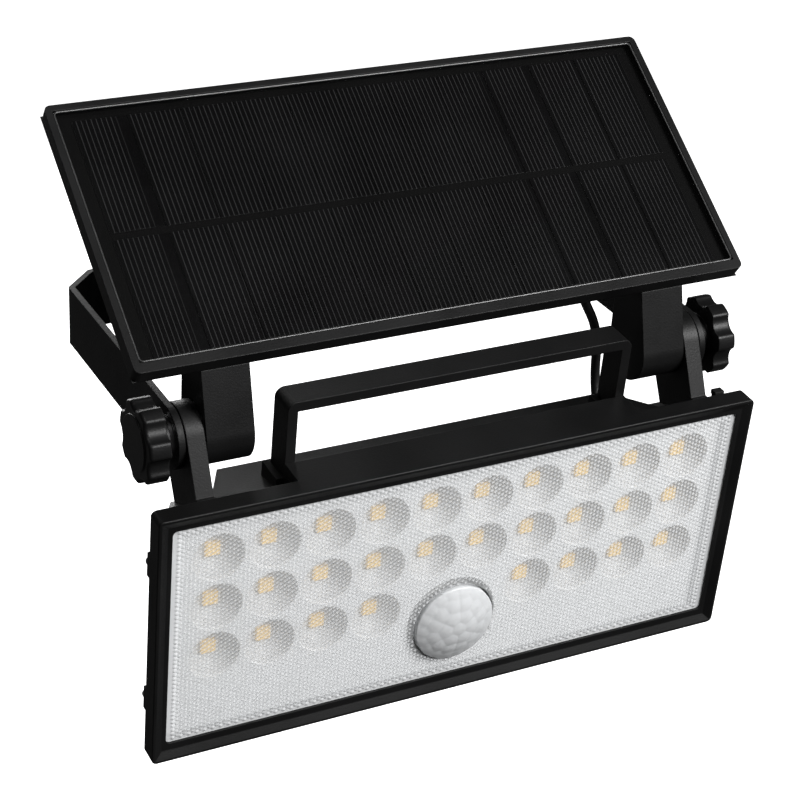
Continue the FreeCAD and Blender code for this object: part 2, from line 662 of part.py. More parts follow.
def power_pack():
    """Four lithium cells in a holder behind the light board, and the control board under them."""
    cells = []
    for z in ("25", "5"):
        for x in ("-66", "1"):
            cells.append(rod("x", "cell", "cell_long", x, "1.5", f"window_z + {z}"))
    node("battery_cells", group(cells), "lamp_tilt")
    cradle = block(("-68.5", "68.5"), ("-12", "4"), ("window_z - 6", "window_z + 35.5"))
    room = []
    for z in ("25", "5"):
        room.append(rod("x", "cell + 0.2", "134", "-67", "1.5", f"window_z + {z}"))
    open_back = block(("-67", "67"), ("1.5", "5"), ("window_z - 4.5", "window_z + 34.3"))
    node("battery_holder", cut(cradle, open_back, *room), "lamp_tilt")
    board_y = ("core_back - 13", "core_back - 13 + board")
    board = block(("-30", "68"), board_y, ("window_z - 37", "window_z - 9"))
    node("control_board", board, "lamp_tilt")
    parts = [block(("-24", "-14"), ("core_back - 17", "core_back - 13"), ("window_z - 32", "window_z - 24"))]
    parts.append(block(("-8", "8"), ("core_back - 19", "core_back - 13"), ("window_z - 30", "window_z - 16")))
    parts.append(rod("y", "4", "8", "20", "core_back - 21", "window_z - 22"))
    node("board_components", group(parts), "lamp_tilt")
    switch = joined([
        block(("button_x - 3", "button_x + 3"), ("core_back - 13 + board", "core_back - 7.7"),
              ("button_z - 3", "button_z + 3")),
        rod("y", "1.6", "1", "button_x", "core_back - 7.7", "button_z")])
    node("button_switch", switch, "lamp_tilt")


def mode_button():
    """A round push button whose flange sits behind the housing wall."""
    flange = rod("y", "button + 1.6", "1.4", "button_x", "core_back - wall - 1.6", "button_z")
    stem = rod("y", "button", "wall + 2", "button_x", "core_back - wall - 0.4", "button_z")
    foot = rod("y", "1.5", "1.4", "button_x", "core_back - wall - 3", "button_z")
    node("mode_button", joined([flange, stem, foot]), "lamp_tilt")


def gland(axis, x, y, z):
    """A hexagon base and a tapered strain relief along +axis."""
    start = {"x": (f"({x}) + gland_base", y, z), "y": (x, f"({y}) + gland_base", z)}[axis]
    base = hexagon(axis, "gland_flats", "gland_base", x, y, z)
    relief = taper(axis, "gland_flats * 0.46", "cable + 1.2", "gland_relief", *start)
    return joined([base, relief])


# ---- the solar panel (pivot at the origin, glass facing +Z, up-slope along +Y) -------------------

def panel_block(half, near, far, low, high):
    return block((f"-({half})", half), (near, far), (low, high))


def panel_shells():
    rim_body = padded("XY_Plane", [
        ("-panel_half", "panel_near"), ("panel_half", "panel_near"),
        ("panel_half", "panel_far"), ("-panel_half", "panel_far")],
        "panel_face + rim - frame_under", "frame_under")
    soften(rim_body, "2.5", lambda edge: runs_along(edge, Vector(0, 0, 1)))
    opening = panel_block("glass_half", "glass_near", "glass_far", "panel_face - 3.4", "panel_face + 5")
    through = panel_block("glass_half - 3", "glass_near + 3", "glass_far - 3", "frame_under - 1", "panel_face")
    node("panel_frame", cut(rim_body, opening, through), "panel_tilt")
    outer = shell_wedge("0", "panel_under", "frame_under")
    inner = shell_wedge("wall", "panel_under + wall", "frame_under + 0.01")
    holes = []
    for x, y in panel_screw_places():
        holes.append(rod("z", "1.3", "6", x, y, "panel_under - 1"))
    for _, side in SIDES:
        for x, y in arm_screw_places(side):
            holes.append(rod("z", "1.3", "6", x, y, "panel_under - 1"))
    holes.append(rod("z", "4", "6", "18", "box_near / 2 + box_far / 2", "panel_under - 1"))
    node("panel_back", cut(outer, inner, *holes), "panel_tilt")


def shell_wedge(inset, low, high):
    """The back shell: full size at the frame, smaller below, turned from Y to Z."""
    near, far = "panel_near", "panel_far"
    narrow = f"(shell_inset + ({inset}))"
    wide_face = (f"-(panel_half - ({inset}))", f"panel_half - ({inset})",
                 f"{near} + ({inset})", f"{far} - ({inset})")
    low_face = (f"-(panel_half - {narrow})", f"panel_half - {narrow}",
                f"{near} + {narrow}", f"{far} - {narrow}")
    wedge = funnel((f"-({high})", f"-({low})"), wide_face, low_face)
    wedge.Placement = Placement(Vector(), Rotation(Vector(1, 0, 0), -90))
    return wedge


def panel_screw_places():
    return [(x, y) for y in ("panel_near + 22", "panel_far - 12") for x in ("-108", "108")]


def arm_screw_places(side):
    sign = "-" if side < 0 else ""
    return [(f"{sign}({x})", "40") for x in ("arm_in + 5", "arm_out - 5")]


def laminate():
    glass = panel_block("glass_half - 0.2", "glass_near + 0.2", "glass_far - 0.2",
                        "panel_face - 2.2", "panel_face")
    node("panel_glass", glass, "panel_tilt")
    strips = []
    half = "strip_gap / 2"
    middle = "(panel_near + panel_far) / 2"
    for low, high in ((f"-({half}) - strip_long", f"-({half})"), (half, f"{half} + strip_long")):
        for index in range(11):
            x = f"({index} - 5) * strip_pitch"
            strips.append(block((f"{x} - strip_pitch / 2 + 0.2", f"{x} + strip_pitch / 2 - 0.2"),
                                (f"{middle} + {low}", f"{middle} + {high}"),
                                ("panel_face - 2.5", "panel_face - 2.25")))
    node("solar_cells", group(strips), "panel_tilt")
    sheet = panel_block("glass_half - 0.2", "glass_near + 0.2", "glass_far - 0.2",
                        "panel_face - 3.4", "panel_face - 2.5")
    node("cell_backsheet", sheet, "panel_tilt")


def solar_arms():
    """Deep arms: a round foot on the pivot, a leaning front face that meets the panel's front wall."""
    front_normal = "(arm_front_lean + 90)"
    back_normal = "(arm_back_lean - 90)"
    front = (f"arm_round * cos({front_normal})", f"arm_round * sin({front_normal})")
    back = (f"arm_round * cos({back_normal})", f"arm_round * sin({back_normal})")
    front_top = f"{front[1]} + (panel_near - ({front[0]})) * tan(arm_front_lean)"
    back_top = f"{back[0]} + (panel_under - ({back[1]})) / tan(arm_back_lean)"
    outline = [front, ("panel_near", front_top), ("panel_near", "frame_under"),
               ("panel_near + shell_inset", "panel_under"), (back_top, "panel_under"), back, ("0", "0")]
    for name, side in SIDES:
        low, high = flip(side, "arm_in", "arm_out")
        web = padded("YZ_Plane", outline, "arm_out - arm_in", low)
        foot = rod("x", "arm_round", "arm_out - arm_in", low, "0", "0")
        flange = block((low, high), ("18", "46"), ("panel_under - 3", "panel_under"))
        bore_low, _ = flip(side, "arm_out - 9", "arm_out + 1")
        bore = rod("x", "stud_hole", "10", bore_low, "0", "0")
        nut_low, _ = flip(side, "arm_out - 6", "arm_out + 1")
        nut_room = hexagon("x", "10.2", "7", nut_low, "0", "0")
        holes = [rod("z", "1.5", "8", x, y, "panel_under - 5") for x, y in arm_screw_places(side)]
        arm = cut(joined([web, foot, flange]), corner_cutter(side), bore, nut_room, *holes)
        node(name + "_solar_arm", arm, "panel_tilt")
        nut_start, _ = flip(side, "arm_out - 6", "arm_out - 1")
        nut = cut(hexagon("x", "10", "5", nut_start, "0", "0"),
                  rod("x", "stud_hole", "7", f"({nut_start}) - 1", "0", "0"))
        node(name + "_nut", nut, "panel_tilt")


def corner_cutter(side):
    """What rounds the lower inner corner of an arm's foot, as seen from the front."""
    start, end = flip(side, "arm_in - 1", "arm_in + foot_round")
    corner = block((start, end), ("-arm_round - 1", "arm_round + 1"),
                   ("-arm_round - 1", "foot_round - arm_round"))
    middle = f"{side} * (arm_in + foot_round)"
    curve = rod("y", "foot_round", "2 * arm_round + 4", middle, "-arm_round - 2", "foot_round - arm_round")
    return cut(corner, curve)


def panel_fixings():
    screws = [screw("z", x, y, "panel_under", "5", -1) for x, y in panel_screw_places()]
    node("panel_screws", group(screws), "panel_tilt")
    arm_fixings = []
    for _, side in SIDES:
        for x, y in arm_screw_places(side):
            arm_fixings.append(screw("z", x, y, "panel_under - 3", "7", -1))
    node("arm_screws", group(arm_fixings), "panel_tilt")


def junction():
    case = block(("box_left", "box_right"), ("box_near", "box_far"), ("box_under", "panel_under"))
    room = block(("box_left + 2", "box_right - 2"), ("box_near + 2", "box_far - 2"),
                 ("box_under + 2", "panel_under + 1"))
    node("junction_box", cut(case, room), "panel_tilt")
    small_board = block(("box_left + 3", "box_right - 3"), ("box_near + 3", "box_far - 3"),
                        ("panel_under - 4", "panel_under - 4 + board"))
    node("junction_board", small_board, "panel_tilt")
    box_gland = gland("x", "box_right", "(box_near + box_far) / 2", "(box_under + panel_under) / 2")
    node("panel_gland", box_gland, "panel_tilt")


# ---- the cable between the two glands ------------------------------------------------------------

def cable_route():
    """Corner points from the lamp's gland, in the lamp's frame, to the panel's, in the panel's frame."""
    lamp_mouth = (number("gland_x"), number("tray_back + gland_base + gland_relief"), number("gland_z"))
    lamp_points = [
        lamp_mouth, (lamp_mouth[0], 33.0, lamp_mouth[2]), (102.0, 47.5, -46.0), (99.5, 46.0, -20.0),
        (86.5, 44.5, 0.8), (80.0, 46.5, 27.0),
    ]
    mouth_x = number("box_right + gland_base + gland_relief")
    mouth_y = number("(box_near + box_far) / 2")
    mouth_z = number("(box_under + panel_under) / 2")
    panel_points = [(mouth_x + 16.0, mouth_y, mouth_z), (mouth_x, mouth_y, mouth_z)]
    return in_row_frame(lamp_points, "lamp_tilt") + in_row_frame(panel_points, "panel_tilt")


def in_row_frame(points, tilt):
    turn = Rotation(Vector(1, 0, 0), number(tilt))
    return [turn.multVec(Vector(*point)) - Vector(0, number("reach"), 0) for point in points]


def bend_at(before, corner, after):
    """The tangent arc at one corner of the route, and its radius."""
    arrive = before - corner
    leave = after - corner
    reach = 0.45 * min(arrive.Length, leave.Length)
    start = corner + arrive.normalize() * reach
    end = corner + leave.normalize() * reach
    half_turn = (math.pi - arrive.getAngle(leave)) / 2
    radius = reach / math.tan(half_turn)
    towards = (arrive + leave).normalize()
    depth = (radius ** 2 + reach ** 2) ** 0.5 - radius
    return Part.Arc(start, corner + towards * depth, end), radius


def cable():
    route = cable_route()
    edges = []
    here = route[0]
    for before, corner, after in zip(route, route[1:], route[2:]):
        arc, radius = bend_at(before, corner, after)
        edges.append(Part.LineSegment(here, arc.StartPoint).toShape())
        edges.append(arc.toShape())
        here = arc.EndPoint
        print("cable bend radius", round(radius, 1))
    edges.append(Part.LineSegment(here, route[-1]).toShape())
    path = Part.Wire(edges)
    radius = number("cable")
    section = Part.Wire(Part.Circle(route[0], route[1] - route[0], radius).toShape())
    tube = path.makePipeShell([section], True, False)
    item = doc.addObject("Part::Feature", "cable")
    item.Shape = tube
    ideal = math.pi * radius ** 2 * path.Length
    print("cable length", round(path.Length, 1), "volume share", round(tube.Volume / ideal, 4))
    node("solar_cable", item)


# ---- build, check, write -------------------------------------------------------------------------

def build():
    yoke()
    clamps()
    bezel()
    lens_and_seal()
    light_engine()
    motion_sensor()
    rear_housing()
    lugs()
    handle()
    lamp_screws()
    power_pack()
    mode_button()
    node("lamp_gland", gland("y", "gland_x", "tray_back", "gland_z"), "lamp_tilt")
    panel_shells()
    laminate()
    solar_arms()
    panel_fixings()
    junction()
    cable()
    doc.recompute()


def faults():
    found = []
    for item in doc.Objects:
        if "Invalid" in item.State or "Error" in item.State:
            found.append(f"{item.Name} ({item.Label}): {item.State}")
    for item in nodes:
        if item.Shape.isNull() or not item.Shape.isValid() or not item.Shape.Solids:
            found.append(item.Label + " has no valid solid")
    return found


def write():
    os.makedirs("parts", exist_ok=True)
    for item in nodes:
        item.Shape.exportStep(f"parts/{item.Label}.step")
        print(item.Label, len(item.Shape.Solids), round(item.Shape.Volume / 1000, 2), "cm3")


build()
problems = faults()
if problems:
    raise RuntimeError("\n".join(problems))
write()
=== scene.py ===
import json
import math

import bmesh
import bpy
from mathutils import Matrix, Quaternion, Vector

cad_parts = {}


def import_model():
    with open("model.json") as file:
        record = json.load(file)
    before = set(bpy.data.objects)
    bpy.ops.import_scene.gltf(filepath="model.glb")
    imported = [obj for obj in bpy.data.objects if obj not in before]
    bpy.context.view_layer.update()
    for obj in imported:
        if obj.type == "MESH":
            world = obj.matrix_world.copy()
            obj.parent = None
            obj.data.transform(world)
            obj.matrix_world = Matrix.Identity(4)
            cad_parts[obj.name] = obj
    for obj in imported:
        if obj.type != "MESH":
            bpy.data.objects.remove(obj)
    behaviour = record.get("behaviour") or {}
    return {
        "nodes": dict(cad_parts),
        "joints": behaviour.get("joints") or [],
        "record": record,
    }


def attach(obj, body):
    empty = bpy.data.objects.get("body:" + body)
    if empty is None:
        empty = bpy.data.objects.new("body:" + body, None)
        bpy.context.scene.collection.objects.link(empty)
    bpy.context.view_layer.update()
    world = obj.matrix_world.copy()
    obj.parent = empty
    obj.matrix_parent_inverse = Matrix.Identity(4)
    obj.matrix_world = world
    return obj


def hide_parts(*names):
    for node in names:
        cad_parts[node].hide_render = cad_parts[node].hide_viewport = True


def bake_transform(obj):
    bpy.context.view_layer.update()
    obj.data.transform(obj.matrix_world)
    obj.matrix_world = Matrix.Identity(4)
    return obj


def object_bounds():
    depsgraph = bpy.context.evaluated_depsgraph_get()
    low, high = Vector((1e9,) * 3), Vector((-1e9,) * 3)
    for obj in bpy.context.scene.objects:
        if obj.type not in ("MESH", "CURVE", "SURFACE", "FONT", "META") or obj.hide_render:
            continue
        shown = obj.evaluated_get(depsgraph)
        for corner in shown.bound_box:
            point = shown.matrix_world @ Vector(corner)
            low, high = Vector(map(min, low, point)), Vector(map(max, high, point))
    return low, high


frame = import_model()
cad_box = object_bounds()

# Solar flood light.  Metres, in the CAD model's frame: +X right, +Y into the wall, +Z up.
# The lamp and the panel are each drawn square, with the pivot at their own origin, then tilted about X.

PIVOT = Vector(frame["joints"][0]["pos_m"])
LAMP_TILT = math.radians(3.6)
PANEL_TILT = math.radians(34.2)
WINDOW_Y = -0.0287
WINDOW_Z = -0.0678
WINDOW_HALF = 0.1183
WINDOW_TALL = 0.0478
DIFFUSER_FRONT = WINDOW_Y + 0.0009
DIFFUSER_THICK = 0.0016
REFLECTOR_FACE = WINDOW_Y + 0.0034
REFLECTOR_HALF = 0.1128
REFLECTOR_TALL = 0.0438
EYE_Z = WINDOW_Z - 0.0237
EYE = 0.0166
EYE_TALL = 0.0045
EYE_SPHERE = 0.0329
PANEL_FACE = 0.0315
CELL_PITCH = 0.0211
FINGER_PITCH = 0.0019
WIDE_GAPS = (-0.097, 0.053, 0.073)
GLASS_HALF = 0.1223
GLASS_LOW = 0.0145
GLASS_HIGH = 0.1198
CABLE = 0.002
FLOOR_DROP = 0.45


def tilted(angle):
    return Matrix.Translation(PIVOT) @ Matrix.Rotation(angle, 4, "X")


LAMP = tilted(LAMP_TILT)
PANEL = tilted(PANEL_TILT)


# ---- node graphs ---------------------------------------------------------------------------------

class Graph:
    """A material's node tree, with a shorthand for adding and joining nodes."""

    def __init__(self, name):
        self.material = bpy.data.materials.new(name)
        self.material.use_nodes = True
        self.tree = self.material.node_tree
        self.tree.nodes.clear()
        self.shader = self.add("ShaderNodeBsdfPrincipled")
        output = self.add("ShaderNodeOutputMaterial")
        self.join(self.shader.outputs[0], output.inputs[0])
        self.place = self.add("ShaderNodeTexCoord").outputs["Object"]

    def add(self, kind, **settings):
        node = self.tree.nodes.new(kind)
        for key, value in settings.items():
            setattr(node, key, value)
        return node

    def join(self, source, target):
        self.tree.links.new(source, target)

    def fill(self, socket, value):
        if isinstance(value, bpy.types.NodeSocket):
            self.join(value, socket)
        else:
            socket.default_value = value

    def maths(self, operation, first, second=0.0):
        node = self.add("ShaderNodeMath", operation=operation)
        self.fill(node.inputs[0], first)
        self.fill(node.inputs[1], second)
        return node.outputs[0]

    def noise(self, scale, detail=3.0, stretch=None):
        node = self.add("ShaderNodeTexNoise")
        node.inputs["Scale"].default_value = scale
        node.inputs["Detail"].default_value = detail
        place = self.place
        if stretch:
            mapping = self.add("ShaderNodeMapping")
            mapping.inputs["Scale"].default_value = stretch
            self.join(self.place, mapping.inputs["Vector"])
            place = mapping.outputs[0]
        self.join(place, node.inputs["Vector"])
        return node.outputs["Fac"]

    def remap(self, value, low, high, new_low=0.0, new_high=1.0):
        node = self.add("ShaderNodeMapRange")
        for socket, number in zip(node.inputs[1:5], (low, high, new_low, new_high)):
            socket.default_value = number
        self.join(value, node.inputs[0])
        return node.outputs[0]

    def mix(self, amount, first, second):
        node = self.add("ShaderNodeMix", data_type="RGBA")
        self.fill(node.inputs[0], amount)
        self.fill(node.inputs[6], first)
        self.fill(node.inputs[7], second)
        return node.outputs[2]

    def rounded(self, radius):
        """The normal with its edges eased, and a mask that is 1 along those edges."""
        bevel = self.add("ShaderNodeBevel", samples=6)
        bevel.inputs["Radius"].default_value = radius
        geometry = self.add("ShaderNodeNewGeometry")
        dot = self.add("ShaderNodeVectorMath", operation="DOT_PRODUCT")
        self.join(bevel.outputs[0], dot.inputs[0])
        self.join(geometry.outputs["Normal"], dot.inputs[1])
        return bevel.outputs[0], self.remap(dot.outputs["Value"], 0.995, 0.9)

    def bump(self, height, depth, normal=None, strength=1.0):
        node = self.add("ShaderNodeBump")
        node.inputs["Strength"].default_value = strength
        node.inputs["Distance"].default_value = depth
        self.join(height, node.inputs["Height"])
        if normal is not None:
            self.join(normal, node.inputs["Normal"])
        return node.outputs[0]


def grey(level):
    return (level, level, level, 1.0)


def shade(colour, factor):
    return tuple(channel * factor for channel in colour[:3]) + (1.0,)


def surface(name, colour, rough, grain=900.0, depth=0.00004, metal=0.0, spread=0.25, wear_and_highlight=0.0,
            worn_highlight_colour=None, edge=0.0004, stretch=None, specular=0.5):
    """A grainy surface: colour drift, roughness drift, fine bump, eased edges, and edges lightened in scuffs,
    partly as wear and partly as a painted edge highlight.
    """
    graph = Graph(name)
    shader = graph.shader
    drift = graph.noise(35.0, 4.0)
    fine = graph.noise(grain, 2.0, stretch)
    darker, lighter = shade(colour, 1 - spread), shade(colour, 1 + spread)
    colours = graph.mix(graph.remap(drift, 0.3, 0.7), darker, lighter)
    normal, edges = graph.rounded(edge)
    if wear_and_highlight:
        # Edges lightened in noisy scuffs: partly wear, partly a painted edge highlight.
        scuffs = graph.remap(graph.noise(260.0, 5.0), 0.42, 0.62)
        amount = graph.maths("MULTIPLY", graph.maths("MULTIPLY", edges, scuffs), wear_and_highlight)
        colours = graph.mix(amount, colours, worn_highlight_colour or shade(colour, 3.0))
    graph.join(colours, shader.inputs["Base Color"])
    speckle = graph.maths("ADD", graph.maths("MULTIPLY", drift, 0.6), graph.maths("MULTIPLY", fine, 0.4))
    roughness = graph.remap(speckle, 0.3, 0.7, rough * 0.82, min(1.0, rough * 1.18))
    graph.join(roughness, shader.inputs["Roughness"])
    graph.join(graph.bump(fine, depth, normal), shader.inputs["Normal"])
    shader.inputs["Metallic"].default_value = metal
    shader.inputs["Specular IOR Level"].default_value = specular
    return graph


# ---- materials, by the record's slots --------------------------------------------------------------

def cell_material():
    """Near-black silicon with fine silver fingers, broken by the wider gaps between some strips."""
    graph = surface("cell_silicon", (0.0012, 0.0012, 0.0014), 0.42, grain=500.0, depth=0.00001, specular=0.1)
    axes = graph.add("ShaderNodeSeparateXYZ")
    graph.join(graph.place, axes.inputs[0])
    x = axes.outputs[0]
    phase = graph.maths("FRACT", graph.maths("ADD", graph.maths("DIVIDE", x, FINGER_PITCH), 0.5))
    off_centre = graph.maths("ABSOLUTE", graph.maths("SUBTRACT", phase, 0.5))
    finger = graph.remap(off_centre, 0.10, 0.05)
    strip_phase = graph.maths("FRACT", graph.maths("ADD", graph.maths("DIVIDE", x, CELL_PITCH), 0.5))
    strip_edge = graph.remap(graph.maths("ABSOLUTE", graph.maths("SUBTRACT", strip_phase, 0.5)), 0.492, 0.484)
    finger = graph.maths("MULTIPLY", finger, strip_edge)
    for gap in WIDE_GAPS:
        distance = graph.maths("ABSOLUTE", graph.maths("SUBTRACT", x, gap))
        finger = graph.maths("MULTIPLY", finger, graph.remap(distance, 0.0016, 0.0020))
    patchy = graph.remap(graph.noise(18.0, 2.0), 0.3, 0.7, 0.75, 1.0)
    finger = graph.maths("MULTIPLY", finger, patchy)
    dark = graph.shader.inputs["Base Color"].links[0].from_socket
    graph.join(graph.mix(finger, dark, (0.042, 0.042, 0.043, 1.0)), graph.shader.inputs["Base Color"])
    return graph


def diffuser_material():
    """Clear prismatic plastic: each bump's crown is painted more opaque white as a painted highlight, and it
    is milky beyond the reflector's edges.
    """
    graph = surface("diffuser_clear", (0.86, 0.87, 0.88), 0.16, grain=300.0, depth=0.00001, spread=0.02)
    crown = graph.add("ShaderNodeAttribute", attribute_name="crown").outputs["Fac"]
    axes = graph.add("ShaderNodeSeparateXYZ")
    graph.join(graph.place, axes.inputs[0])
    # Painted highlight: opacity rises toward each bump's crown, so the crowns read as bright dots; beyond the
    # reflector's edges it is milky.
    crown_highlight_and_milk = graph.remap(crown, 0.20, 0.85, 0.18, 0.58)
    for axis, middle, edge in ((0, 0.0, REFLECTOR_HALF), (2, WINDOW_Z, REFLECTOR_TALL)):
        away = graph.maths("ABSOLUTE", graph.maths("SUBTRACT", axes.outputs[axis], middle))
        crown_highlight_and_milk = graph.maths("MAXIMUM", crown_highlight_and_milk, graph.remap(away, edge, edge + 0.0015, 0.0, 0.55))
    graph.join(crown_highlight_and_milk, graph.shader.inputs["Alpha"])
    graph.shader.inputs["IOR"].default_value = 1.49
    return graph


def reflector_material():
    """White plastic, with painted shade greying it down inside the cups."""
    graph = surface("reflector_white", (0.78, 0.785, 0.79), 0.4, 400.0, 0.00001, spread=0.02, edge=0.0003,
                    specular=0.25)
    axes = graph.add("ShaderNodeSeparateXYZ")
    graph.join(graph.place, axes.inputs[0])
    # Painted shade: the base colour darkens to grey with depth into the cups, where shade falls.
    depth = graph.maths("ADD", graph.maths("MULTIPLY", axes.outputs[1], math.cos(LAMP_TILT)),
                        graph.maths("MULTIPLY", axes.outputs[2], math.sin(LAMP_TILT)))
    face = REFLECTOR_FACE + PIVOT.y * math.cos(LAMP_TILT)
    painted_cup_shade = graph.remap(depth, face + 0.0001, face + 0.0016)
    white = graph.shader.inputs["Base Color"].links[0].from_socket
    graph.join(graph.mix(painted_cup_shade, white, (0.58, 0.585, 0.59, 1.0)), graph.shader.inputs["Base Color"])
    return graph


def lens_material():
    graph = surface("lens_milky", (0.60, 0.61, 0.62), 0.38, grain=600.0, depth=0.00001, spread=0.03)
    graph.shader.inputs["Subsurface Weight"].default_value = 0.35
    graph.shader.inputs["Subsurface Radius"].default_value = (0.003, 0.003, 0.003)
    graph.shader.inputs["Subsurface Scale"].default_value = 1.0
    graph.shader.inputs["Alpha"].default_value = 0.95
    return graph


def glass_material():
    graph = surface("panel_glass", (0.004, 0.004, 0.004), 0.08, grain=700.0, depth=0.000006, spread=0.1)
    graph.shader.inputs["Alpha"].default_value = 0.12
    graph.shader.inputs["Specular IOR Level"].default_value = 0.2
    return graph


def chip_material():
    """Phosphor yellow."""
    graph = surface("led_yellow", (0.90, 0.60, 0.16), 0.35, grain=1500.0, depth=0.00003, spread=0.08)
    graph.shader.inputs["Emission Color"].default_value = (1.0, 0.62, 0.2, 1.0)
    graph.shader.inputs["Emission Strength"].default_value = 0.12
    return graph


def make_materials():
    black = (0.0050, 0.0050, 0.0051)
    case = surface("case_plastic", black, 0.46, 1500.0, 0.00005, wear_and_highlight=0.35, worn_highlight_colour=grey(0.025), edge=0.0005,
                   specular=0.2)
    made = {
        "case_plastic": case,
        "knob_plastic": surface("knob_plastic", black, 0.4, 1300.0, 0.00004, wear_and_highlight=0.4, worn_highlight_colour=grey(0.03),
                                edge=0.0008, specular=0.22),
        "yoke_steel": surface("yoke_steel", (0.004, 0.004, 0.0041), 0.5, 1100.0, 0.00006, wear_and_highlight=0.3,
                              worn_highlight_colour=grey(0.04), edge=0.0005, specular=0.2),
        "bright_steel": surface("bright_steel", (0.55, 0.55, 0.56), 0.3, 600.0, 0.00002, metal=1.0,
                                spread=0.1, stretch=(1.0, 8.0, 1.0), edge=0.0002),
        "seal_rubber": surface("seal_rubber", (0.02, 0.02, 0.02), 0.35, 800.0, 0.00002, specular=0.8),
        "diffuser_clear": diffuser_material(),
        "reflector_white": reflector_material(),
        "board_white": surface("board_white", (0.75, 0.75, 0.73), 0.45, 700.0, 0.00002, spread=0.05),
        "led_yellow": chip_material(),
        "lens_milky": lens_material(),
        "cell_wrap": surface("cell_wrap", (0.03, 0.14, 0.36), 0.3, 500.0, 0.00002),
        "board_green": surface("board_green", (0.02, 0.13, 0.05), 0.35, 700.0, 0.00003),
        "component_black": surface("component_black", (0.02, 0.02, 0.02), 0.5, 900.0, 0.00003),
        "button_rubber": surface("button_rubber", (0.006, 0.006, 0.006), 0.65, 900.0, 0.00005, edge=0.0008,
                                 specular=0.2),
        "gland_plastic": surface("gland_plastic", (0.014, 0.014, 0.014), 0.5, 1000.0, 0.00004, edge=0.0004),
        "panel_glass": glass_material(),
        "cell_silicon": cell_material(),
        "backsheet_black": surface("backsheet_black", (0.001, 0.001, 0.001), 0.6, 700.0, 0.00002,
                                   specular=0.1),
        "cable_rubber": surface("cable_rubber", (0.011, 0.011, 0.011), 0.42, 1200.0, 0.00004),
    }
    return {slot: graph.material for slot, graph in made.items()}


def paint(piece, slot):
    piece.data.materials.clear()
    piece.data.materials.append(materials[slot])


def paint_cad_nodes():
    for part in frame["record"]["subparts"]:
        node = frame["nodes"][part["node"]]
        if not node.material_slots:
            node.data.materials.append(None)
        for place in node.material_slots:
            place.material = materials[part["material_slot"]]


# ---- making pieces ----------------------------------------------------------------------------------

def piece_from(name, bm, slot, where, body, smooth=False):
    """A mesh piece drawn at its group's own origin, stood in place, painted and set to ride."""
    mesh = bpy.data.meshes.new(name)
    bm.normal_update()
    bm.to_mesh(mesh)
    bm.free()
    for face in mesh.polygons:
        face.use_smooth = smooth
    piece = bpy.data.objects.new(name, mesh)
    bpy.context.scene.collection.objects.link(piece)
    piece.matrix_world = where
    paint(piece, slot)
    if body:
        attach(piece, body)
    return piece


def thicken(piece, thickness, offset=-1.0):
    solid = piece.modifiers.new("thickness", "SOLIDIFY")
    solid.thickness = thickness
    solid.offset = offset
    return piece


# ---- the diffuser: a triangular net in which every third point is the crown of a six-sided bump --------

def diffuser():
    bump_pitch = 0.00185
    bump_tall = 0.0005
    step = bump_pitch / math.sqrt(3)
    row_step = step * math.sqrt(3) / 2
    half_x = WINDOW_HALF + 0.0014
    half_z = WINDOW_TALL + 0.0014
    hole = EYE + 0.0008
    bm = bmesh.new()
    crown = bm.verts.layers.float.new("crown")
    net = {}
    rows = int(half_z / row_step)
    columns = int(half_x / step) + rows
    for j in range(-rows, rows + 1):
        for i in range(-columns, columns + 1):
            x = (i + j / 2) * step
            z = WINDOW_Z + j * row_step
            if abs(x) > half_x:
                continue
            raised = (i - j) % 3 == 0
            away = math.hypot(x, z - EYE_Z)
            if away < hole - step / 2:
                continue
            if away < hole + step / 2:
                x *= hole / away
                z = EYE_Z + (z - EYE_Z) * hole / away
                raised = False
            border = abs(x) > WINDOW_HALF - 0.0015 or abs(z - WINDOW_Z) > WINDOW_TALL - 0.0015
            raised = raised and not border
            vertex = bm.verts.new((x, DIFFUSER_FRONT - (bump_tall if raised else 0.0), z))
            vertex[crown] = 1.0 if raised else (-0.9 if border else 0.0)
            net[i, j] = vertex
    for (i, j), vertex in net.items():
        for third in ((i, j + 1), (i + 1, j - 1)):
            corners = [vertex, net.get((i + 1, j)), net.get(third)]
            if None not in corners:
                bm.faces.new(corners if third[1] > j else corners[::-1])
    sheet = piece_from("diffuser_sheet", bm, "diffuser_clear", LAMP, "lamp")
    thicken(sheet, DIFFUSER_THICK)
    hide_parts("diffuser")
    return sheet


# ---- the motion lens: a low dome of small convex lenses ---------------------------------------------

def lenslet_centres():
    centres = [(0.0, 0.0)]
    for radius, count in ((0.0056, 6), (0.0107, 12), (0.0153, 18)):
        for index in range(count):
            angle = 2 * math.pi * (index + 0.5 * (count % 12 == 0)) / count
            centres.append((radius * math.cos(angle), radius * math.sin(angle)))
    return centres


